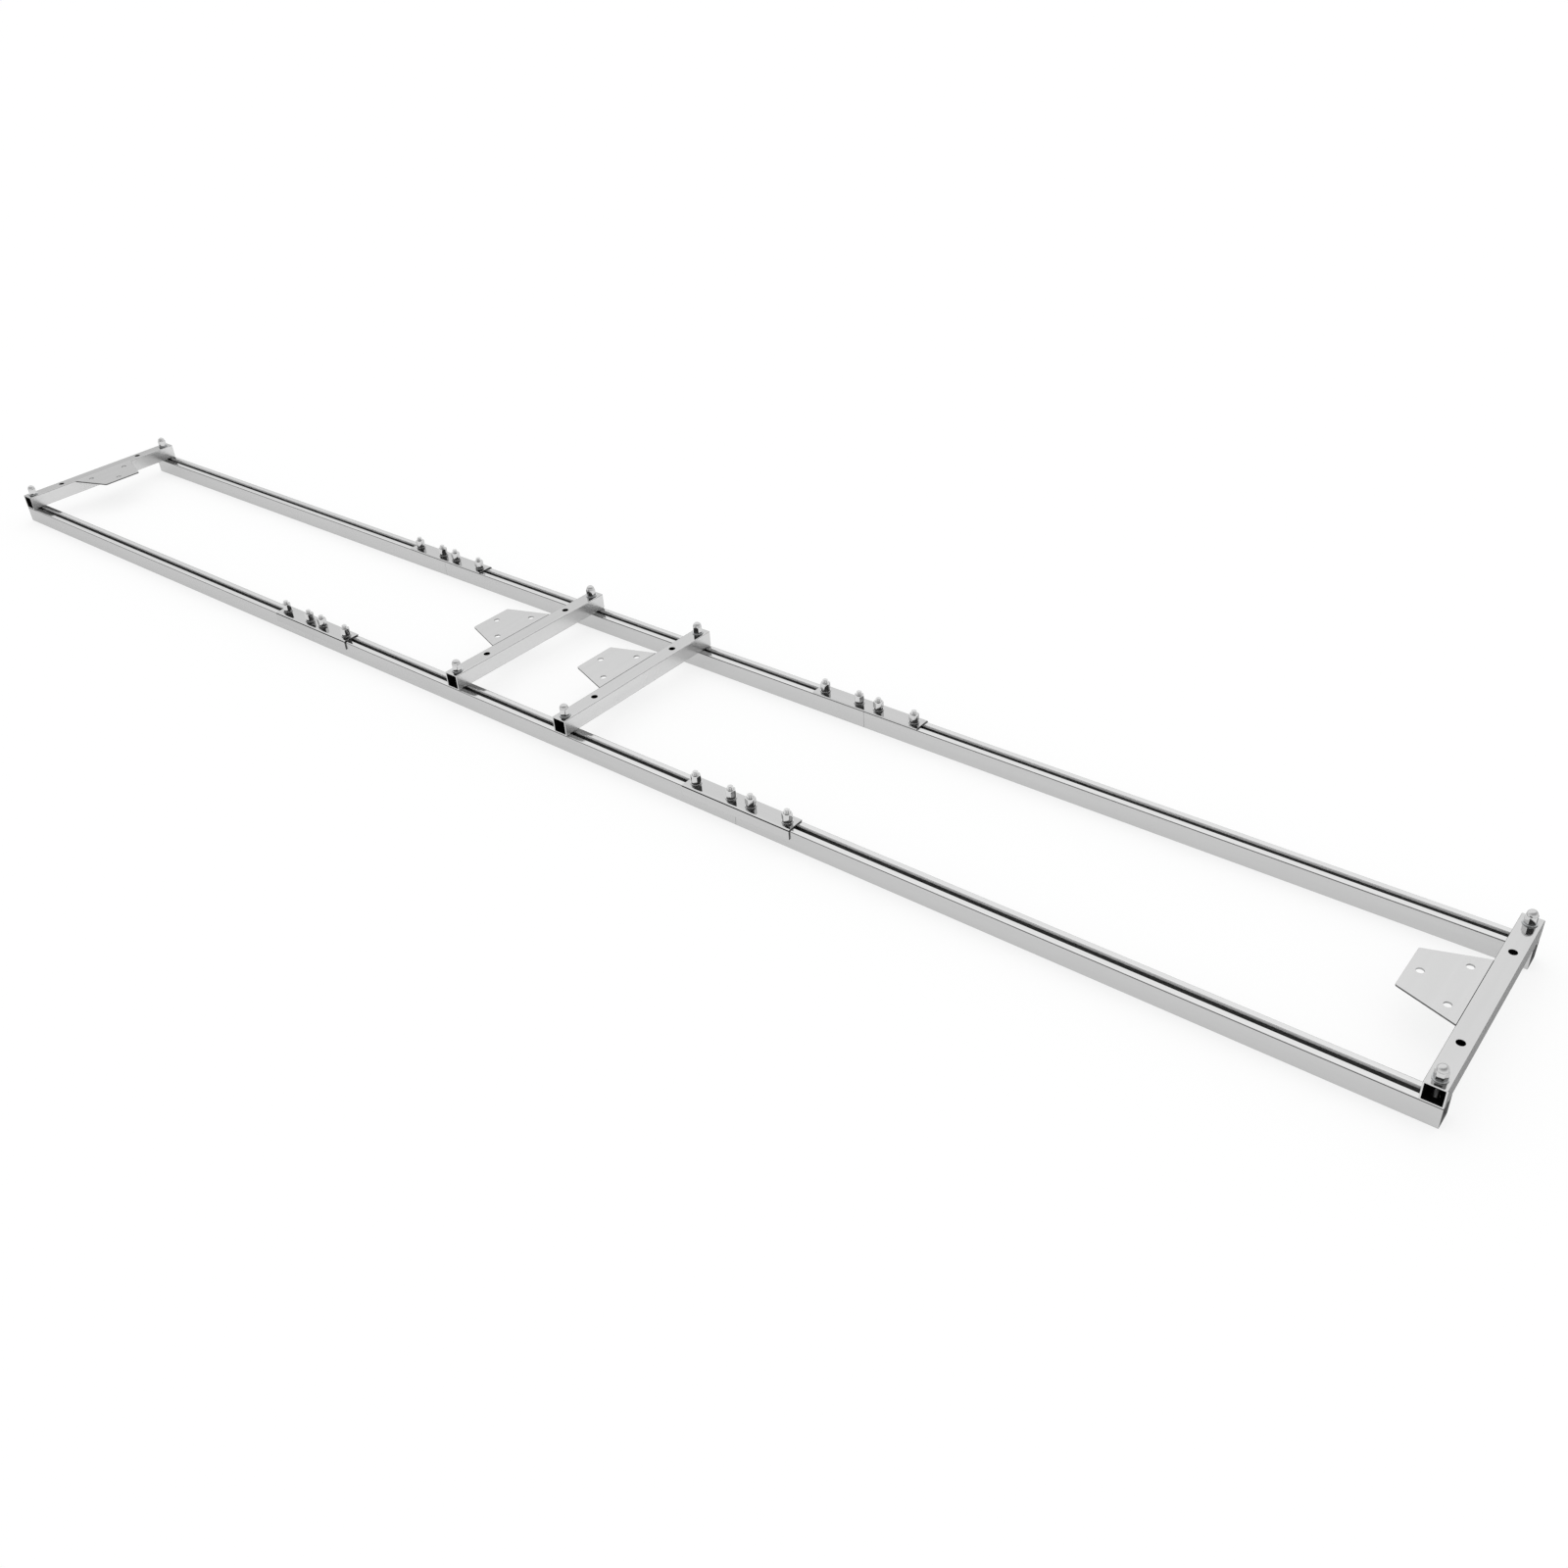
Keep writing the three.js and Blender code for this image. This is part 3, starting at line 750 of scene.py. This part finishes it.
class MILL_OT_crossbars(bpy.types.Operator):
    """Four square tubes across the rails, drilled for their clamp bolts and screws"""

    bl_idname = "mill.crossbars"
    bl_label = "Build crossbars"

    def execute(self, context):
        bar = context.scene.mill_crossbars
        low, high = TUBE_LOW.z, TUBE_HIGH.z
        inner = TUBE_HALF - bar.wall
        square = np.array(rectangle(-1, -1, 1, 1))
        middle = np.array([0, (low + high) / 2])
        outer_outline = rounded_outline(square * TUBE_HALF + middle, bar.corner, steps=6)
        inner_outline = rounded_outline(square * inner + middle, bar.wall / 3, steps=6)
        tube = pipe_mesh(outer_outline, inner_outline, "Y", TUBE_LOW.y, TUBE_HIGH.y, bar.end_round)
        bolt_y = abs(box_centre("left_crossbar_front_washer").y)
        tube = drilled(tube, [(0, -bolt_y), (0, bolt_y)], bar.bolt_hole, low, high)
        screws = [(0, -bar.screw_offset), (0, bar.screw_offset)]
        tube = drilled(tube, screws, bar.screw_hole, low, high, rim=bar.screw_rim)
        materials = crossbar_materials(bar)
        darkened, satin, painted_bend = 1, 2, 3
        across, along, height = face_values(tube, "center").T
        slack = bar.wall / 6
        # The tube's inside takes the inside colour, painted shade.
        inside = (abs(across) < inner + slack) & (abs(height - middle[1]) < inner + slack)
        mark_faces(tube, inside & (abs(along) < TUBE_HIGH.y - bar.wall), darkened)
        mark_faces(tube, abs(across) > TUBE_HALF - slack, satin)
        # A band of the tube's upper bends takes the painted reflection line.
        bends = (abs(across) > inner + bar.wall / 3) & (height > high - bar.corner)
        mark_painted_bend(tube, bends, painted_bend)
        for place in CROSSBARS:
            node = f"{place}_crossbar"
            mesh = placed(tube, x=box_centre(node).x)
            add_piece(f"crossbar_tube_{place}", mesh, materials, "crossbar_metal", f"{node}_set", node)
        return {"FINISHED"}


class MILL_OT_plates(bpy.types.Operator):
    """Four screw plates, each a drilled trapezium level with its crossbar's top"""

    bl_idname = "mill.plates"
    bl_label = "Build plates"

    def execute(self, context):
        plate = context.scene.mill_plates
        root = TUBE_HALF
        tip = root + PLATE_HIGH.x - PLATE_LOW.x
        wide = PLATE_HIGH.y
        low, high = PLATE_LOW.z, PLATE_HIGH.z
        corners = [(root, -wide), (tip, -plate.tip / 2), (tip, plate.tip / 2), (root, wide)]
        radii = [plate.edge_round, plate.corner, plate.corner, plate.edge_round]
        sheet = bar_mesh(rounded_outline(corners, radii), "Z", low, high, plate.edge_round)
        pair = root + plate.root_margin
        holes = [(tip - plate.tip_margin, 0), (pair, -plate.root_offset), (pair, plate.root_offset)]
        sheet = drilled(sheet, holes, plate.hole, low, high, rim=plate.edge_round)
        materials = [
            metal_material("plate_metal", plate.colour, ALONG_Y, rough=0.14, tint=0.3),
            cut_edge_material("plate_cut_edge", plate.cut_colour, rough=0.4),
            cut_edge_material("plate_bore", plate.bore_colour, rough=0.35),
        ]
        cut, bore = 1, 2
        # Faces within 30 degrees of upright are edges, and those just round a hole's middle its bore.
        upright = abs(face_values(sheet, "normal")[:, 2]) < 0.5
        from_holes = face_values(sheet, "center")[:, None, :2] - np.array(holes)[None]
        near_hole = (np.linalg.norm(from_holes, axis=2) < 0.6 * plate.hole).any(1)
        mark_faces(sheet, upright, cut)
        mark_faces(sheet, upright & near_hole, bore)
        for place in CROSSBARS:
            node = f"{place}_crossbar_plate"
            bar_x = box_centre(f"{place}_crossbar").x
            turn = 0 if box_centre(node).x > bar_x else math.pi
            mesh = placed(sheet, x=bar_x, turn=turn)
            body = f"{place}_crossbar_set"
            add_piece(f"crossbar_plate_{place}", mesh, materials, "plate_metal", body, node)
        return {"FINISHED"}


# Shapes of the fasteners
CHAMFER_SLOPE = math.tan(math.radians(30))
# Radius of a nut's flat faces, as a share of its width across flats
NUT_FACE_SHARE = 0.47
# Widening of a nut's bore at its faces, as a share of the thread
SINK_SHARE = 1 / 12
THREAD_DEPTH_SHARE = 0.61
# How much deeper than the thread the V of its groove would be without its flat crest and root
GROOVE_STEEPNESS = 1.4
# Turn of each nut in degrees, as a spanner happens to leave them: along each splice, and from the
# left crossbar to the right one
SPLICE_NUT_TURNS = {
    "front_splice_left": (0, 44, 20, 50),
    "front_splice_right": (54, 44, 14, 57),
    "back_splice_left": (23, 34, 20, 23),
    "back_splice_right": (21, 40, 7, 18),
}
CAP_NUT_TURNS = {"front": (10, 54, 50, 34), "back": (30, 6, 49, 58)}


def washer_mesh(inner, outer, low, high, edge, sides=64):
    """A flat ring: a rounded rectangle turned about Z."""
    return turned_mesh(rounded_outline(rectangle(inner, low, outer, high), edge, steps=4), sides)


def lock_washer_mesh(inner, outer, low, high, gap, sides=64):
    """A split ring: a rounded rectangle carried round Z, short of a full turn by the gap."""
    edge = (high - low) / 10
    radius, height = rounded_outline(rectangle(inner, low, outer, high), edge, steps=3).T
    angle = np.linspace(gap / 2, 2 * math.pi - gap / 2, sides)[:, None]
    slanted = angle + gap * (height - low) / (high - low)
    height = np.broadcast_to(height, slanted.shape)
    points = np.stack([radius * np.cos(slanted), radius * np.sin(slanted), height], -1).reshape(-1, 3)
    columns = len(radius)
    return closed_mesh(points, grid_faces(sides, columns) + end_faces(sides, columns))


def nut_rows(flats, width, low, high):
    """Rows from the bearing face to the top: 30 degree cones cut the hexagon's corners at both faces."""
    face = NUT_FACE_SHARE * width
    cut = np.clip(flats - face, 0, None) * CHAMFER_SLOPE
    return [(face, low), (flats, low + cut), (flats, high - cut), (face, high)]


def nut_mesh(settings, low, high, sides=96):
    """A hexagon nut with a countersunk bore."""
    flats = hexagon(sides, settings.nut_width, settings.hex_sharpness)
    bore = settings.thread / 2
    sink = settings.thread * SINK_SHARE
    rows = [(bore, low + sink), (bore + sink, low)]
    rows += nut_rows(flats, settings.nut_width, low, high)
    rows += [(bore + sink, high), (bore, high - sink)]
    return turned_mesh(rows, sides)


def cap_nut_mesh(settings, low, high, bolt_top, sides=96, dome_rows=14):
    """A cap nut: a hexagon, a short neck and a half sphere, with a blind bore from below."""
    flats = hexagon(sides, settings.nut_width, settings.hex_sharpness)
    bore = settings.thread / 2 + settings.cap_gap
    sink = settings.thread * SINK_SHARE
    dome = settings.cap_dome / 2
    neck, step = dome - settings.neck_depth, settings.neck_height
    hex_top = low + settings.cap_hex
    rows = [(bore, bolt_top + settings.cap_room), (bore, low + sink), (bore + sink, low)]
    rows += nut_rows(flats, settings.nut_width, low, hex_top)
    rows += [(neck, hex_top), (neck, hex_top + step), (dome, hex_top + 2 * step)]
    bend = np.linspace(0, math.pi / 2, dome_rows + 1)[:-1]
    rows += list(zip(dome * np.cos(bend), high - dome + dome * np.sin(bend)))
    return turned_mesh(rows, sides, poles=True)


def bolt_mesh(settings, low, high, sides=32, rows_per_turn=8):
    """A T-headed bolt. The stud's radius falls by the thread's depth in a V that climbs one pitch a turn."""
    radius = settings.thread / 2
    depth = THREAD_DEPTH_SHARE * settings.pitch
    head_top = low + settings.head_thickness
    start = head_top + settings.pitch
    foot = low + settings.head_thickness / 2
    count = int((high - start) / settings.pitch * rows_per_turn)
    height = np.concatenate([[foot], np.linspace(start, high, count)])[:, None]
    angle = np.linspace(0, 1, sides, endpoint=False)[None, :]
    phase = (height / settings.pitch - angle) % 1
    flank = GROOVE_STEEPNESS * (1 - abs(2 * phase - 1)) - (GROOVE_STEEPNESS - 1) / 2
    groove = np.clip(flank, 0, 1) * np.clip((height - start) / settings.pitch, 0, 1)
    surface = np.minimum(radius - depth * groove, radius - settings.point + (high - height))
    stud = turned_mesh(zip(surface, height), sides, poles=True)
    wide = (SPLICE_BOLT_HIGH.y - SPLICE_BOLT_LOW.y) / 2
    long = settings.head_length / 2
    outline = rounded_outline(rectangle(-long, -wide, long, wide), settings.head_corner, steps=5)
    head = bar_mesh(outline, "Z", low, head_top, settings.head_round)
    return combined(head, stud, "UNION")


class MILL_OT_splice_fasteners(bpy.types.Operator):
    """Sixteen splice bolts, each with a flat washer, a split lock washer and a nut"""

    bl_idname = "mill.splice_fasteners"
    bl_label = "Build splice fasteners"

    def execute(self, context):
        made = context.scene.mill_fasteners
        splice_top = SPLICE_HIGH.z
        washer_top = splice_top + made.washer_thickness
        lock_top = washer_top + made.lock_thickness
        bore = made.thread / 2 + made.washer_gap
        plated = metal_material("bolt_steel", made.bolt_colour, EVEN, rough=0.2, tint=0.6)
        spring = metal_material("lock_washer_steel", made.lock_colour, EVEN, rough=0.3, tint=0.6)
        polished = metal_material("splice_nut_steel", made.nut_colour, EVEN, rough=0.12, tint=0.5)
        bolt = bolt_mesh(made, SPLICE_BOLT_LOW.z, SPLICE_BOLT_HIGH.z)
        washer = washer_mesh(bore, made.splice_washer / 2, splice_top, washer_top, made.washer_round)
        lock = lock_washer_mesh(bore, made.lock_washer / 2, washer_top, lock_top, made.lock_gap)
        nut = nut_mesh(made, lock_top, lock_top + made.nut_height)
        kinds = {
            "bolt": (bolt, plated),
            "washer": (washer, plated),
            "lock_washer": (lock, spring),
            "nut": (nut, polished),
        }
        for splice, turns in SPLICE_NUT_TURNS.items():
            side, _, end = splice.split("_")
            for number, turn in zip(SPLICE_BOLTS, turns):
                node = f"{splice}_bolt_{number}"
                x, y = box_centre(node)[:2]
                for kind, (mesh, material) in kinds.items():
                    copy = placed(mesh, x, y, 0 if kind == "bolt" else math.radians(turn))
                    name = f"splice_{kind}_{side}_{end}_{number}"
                    add_piece(name, copy, [material], "bolt_steel", "frame", node)
        return {"FINISHED"}


class MILL_OT_clamp_fasteners(bpy.types.Operator):
    """Eight clamp bolts with their flat washers and cap nuts"""

    bl_idname = "mill.clamp_fasteners"
    bl_label = "Build clamp fasteners"

    def execute(self, context):
        made = context.scene.mill_fasteners
        bore = made.thread / 2 + made.cap_gap
        plated = bpy.data.materials["bolt_steel"]
        polished = metal_material("nut_steel", made.nut_colour, EVEN, rough=0.1, tint=0.5)
        pressed = metal_material("nut_dome", made.dome_colour, EVEN, rough=0.3, tint=0.5)
        # The clamp bolts take a darker colour as painted shade inside the tubes.
        shaded = metal_material("clamp_bolt_shade", made.shank_shade_colour, EVEN, rough=0.3, tint=0.6)
        bolt = bolt_mesh(made, CLAMP_BOLT_LOW.z, CLAMP_BOLT_HIGH.z)
        washer_radius = (CLAMP_WASHER_HIGH - CLAMP_WASHER_LOW).x / 2
        washer = washer_mesh(bore, washer_radius, TUBE_HIGH.z, CLAMP_WASHER_HIGH.z, made.washer_round)
        cap = cap_nut_mesh(made, CAP_NUT_LOW.z, CAP_NUT_HIGH.z, CLAMP_BOLT_HIGH.z)
        centres, dome = face_values(cap, "center"), 1
        over_hexagon = centres[:, 2] > CAP_NUT_LOW.z + made.cap_hex + made.neck_height / 2
        mark_faces(cap, over_hexagon & (np.linalg.norm(centres[:, :2], axis=1) < made.cap_dome / 2), dome)
        for bar_index, place in enumerate(CROSSBARS):
            for side in SIDES:
                start = f"{place}_crossbar_{side}"
                x, y = box_centre(f"{start}_washer")[:2]
                turn = math.radians(CAP_NUT_TURNS[side][bar_index])
                body = f"{place}_crossbar_set"
                add_piece(f"clamp_bolt_{place}_{side}", placed(bolt, x, y), [shaded],
                          "bolt_steel", body, f"{start}_bolt")
                add_piece(f"clamp_washer_{place}_{side}", placed(washer, x, y), [plated],
                          "bolt_steel", body, f"{start}_washer")
                add_piece(f"cap_nut_{place}_{side}", placed(cap, x, y, turn), [polished, pressed],
                          "nut_steel", f"{place}_{side}_nut", f"{start}_cap_nut")
        return {"FINISHED"}


# Stage
def floor_material(stage):
    """White floor. The camera and the metal see its own light with a share of its shadow."""
    material = bpy.data.materials.new("floor")
    tree = cleared_tree(material)
    path = tree.nodes.new("ShaderNodeLightPath").outputs
    glow = tree.nodes.new("ShaderNodeEmission").outputs[0]
    paint = add_node(tree, "ShaderNodeBsdfDiffuse", {"Color": (*stage.floor_colour, 1)}).outputs[0]
    seen = mixed_shader(tree, stage.floor_shadow, glow, paint)
    is_seen = sum_of(tree, "MAXIMUM", path["Is Camera Ray"], path["Is Glossy Ray"])
    add_node(tree, "ShaderNodeOutputMaterial", {"Surface": mixed_shader(tree, is_seen, paint, seen)})
    return material


# What metal sees of the studio, at heights that are sines of the angle above the horizon: a bright
# tent behind the object, whose light follows the list below, fading at its edge into a room that is
# pale at its foot and grey above. The dark room is what one piece mirrors from another piece.
TENT_LIGHT = (
    (0.0, 0.9), (0.14, 1.1), (0.26, 1.28), (0.33, 1.36), (0.385, 1.14),
    (0.45, 1.07), (0.54, 1.03), (0.65, 1.0), (0.8, 1.08), (1.0, 1.0),
)
TENT_PEAK = 1.5
TENT_MIDDLE = (-0.401, 0.446, 0.80)
TENT_FADE = (0.40, 0.55)
ROOM_HEIGHTS, ROOM_LIGHT = (0.1, 0.6), (0.85, 0.35)
DARK_ROOM_HEIGHTS, DARK_ROOM_LIGHT = (0.0, 0.14), (0.8, 0.045)
# The depth of a ray that a piece mirrored is 2, and that of one mirrored twice is more
MIRRORED_TWICE = 2.5


def tent_light(tree, height):
    """The tent's light at a height: a curve that runs straight between the points of its list."""
    tent = add_node(tree, "ShaderNodeFloatCurve", {"Value": height})
    curve = tent.mapping.curves[0]
    for point, (mark, light) in zip(curve.points, (TENT_LIGHT[0], TENT_LIGHT[-1])):
        point.location = (mark, light / TENT_PEAK)
    for mark, light in TENT_LIGHT[1:-1]:
        curve.points.new(mark, light / TENT_PEAK)
    for point in curve.points:
        point.handle_type = "VECTOR"
    tent.mapping.update()
    return sum_of(tree, "MULTIPLY", tent.outputs["Value"], TENT_PEAK)


def studio_world():
    """White to the camera, plain to matt surfaces, and to metal a tent and a room.

    What a piece mirrors from another piece sees the room darker, which gives the nuts their dark faces.
    """
    world = bpy.data.worlds.new("studio")
    bpy.context.scene.world = world
    tree = cleared_tree(world)
    direction = tree.nodes.new("ShaderNodeTexCoord").outputs["Generated"]
    path = tree.nodes.new("ShaderNodeLightPath").outputs
    height = add_node(tree, "ShaderNodeSeparateXYZ", {0: direction}).outputs["Z"]
    toward = add_node(tree, "ShaderNodeVectorMath", {0: direction, 1: TENT_MIDDLE},
                      operation="DOT_PRODUCT")
    room = add_node(tree, "ShaderNodeMix", {
        "Factor": sum_of(tree, "GREATER_THAN", path["Ray Depth"], MIRRORED_TWICE),
        "A": smooth_step(tree, height, ROOM_HEIGHTS, ROOM_LIGHT),
        "B": smooth_step(tree, height, DARK_ROOM_HEIGHTS, DARK_ROOM_LIGHT),
    })
    strength = add_node(tree, "ShaderNodeMix", {
        "Factor": smooth_step(tree, toward.outputs["Value"], TENT_FADE),
        "A": room.outputs["Result"],
        "B": tent_light(tree, height),
    }).outputs["Result"]
    white = (1, 1, 1, 1)
    plain = add_node(tree, "ShaderNodeBackground", {"Color": white}).outputs[0]
    studio = add_node(tree, "ShaderNodeBackground", {"Color": white, "Strength": strength}).outputs[0]
    behind = mixed_shader(tree, path["Is Glossy Ray"], plain, studio)
    add_node(tree, "ShaderNodeOutputWorld", {
        "Surface": mixed_shader(tree, path["Is Camera Ray"], behind, plain),
    })


LAMP_DIRECTION = (0.3, -0.4, -1)


class MILL_OT_stage(bpy.types.Operator):
    """The floor, the studio's light and the camera at the photograph's place"""

    bl_idname = "mill.stage"
    bl_label = "Build stage"

    def execute(self, context):
        scene = context.scene
        stage = scene.mill_stage
        scene.view_settings.view_transform = "Standard"
        half = stage.floor / 2
        corners = [(x, y, 0) for x, y in rectangle(-half, -half, half, half)]
        mesh = bpy.data.meshes.new("floor")
        mesh.from_pydata(corners, [], [range(4)])
        mesh.materials.append(floor_material(stage))
        floor = new_object("floor", mesh)
        studio_world()

        lamp_data = bpy.data.lights.new("overhead_lamp", "SUN")
        lamp_data.energy = stage.lamp_strength
        lamp_data.angle = stage.lamp_spread
        lamp = new_object("overhead_lamp", lamp_data)
        lamp.rotation_euler = Vector(LAMP_DIRECTION).to_track_quat("-Z", "Y").to_euler()
        lamp.visible_glossy = False

        camera_data = bpy.data.cameras.new("camera")
        camera_data.sensor_width = 36
        camera_data.lens = stage.lens
        camera_data.clip_end = 100
        camera = new_object("camera", camera_data)
        place, aim = Vector(stage.camera_place), Vector(stage.camera_aim)
        look = (aim - place).to_track_quat("-Z", "Y").to_matrix().to_4x4()
        camera.matrix_world = Matrix.Translation(place) @ look @ Matrix.Rotation(stage.camera_roll, 4, "Z")
        scene.camera = camera
        return {"FINISHED"}


class MILL_PT_pieces(bpy.types.Panel):
    """Builds each group of pieces of the rail guide"""

    bl_idname = "MILL_PT_pieces"
    bl_label = "Chainsaw mill rail guide"
    bl_space_type = "VIEW_3D"
    bl_region_type = "UI"
    bl_category = "Mill"

    def draw(self, context):
        for operator in OPERATORS:
            self.layout.operator(operator.bl_idname)


SETTINGS = {
    "mill_rails": MillRailSettings,
    "mill_splices": MillSpliceSettings,
    "mill_crossbars": MillCrossbarSettings,
    "mill_plates": MillPlateSettings,
    "mill_fasteners": MillFastenerSettings,
    "mill_stage": MillStageSettings,
}
OPERATORS = (
    MILL_OT_rails,
    MILL_OT_splices,
    MILL_OT_crossbars,
    MILL_OT_plates,
    MILL_OT_splice_fasteners,
    MILL_OT_clamp_fasteners,
    MILL_OT_stage,
)


CLASSES = (*SETTINGS.values(), *OPERATORS, MILL_PT_pieces)


def register():
    for part in CLASSES:
        bpy.utils.register_class(part)
    for name, group in SETTINGS.items():
        setattr(bpy.types.Scene, name, PointerProperty(type=group))


def unregister():
    for name in SETTINGS:
        delattr(bpy.types.Scene, name)
    for part in reversed(CLASSES):
        bpy.utils.unregister_class(part)


def main():
    register()
    bpy.ops.mill.rails()
    bpy.ops.mill.splices()
    bpy.ops.mill.crossbars()
    bpy.ops.mill.plates()
    bpy.ops.mill.splice_fasteners()
    bpy.ops.mill.clamp_fasteners()
    bpy.ops.mill.stage()


if __name__ == "__main__":
    main()
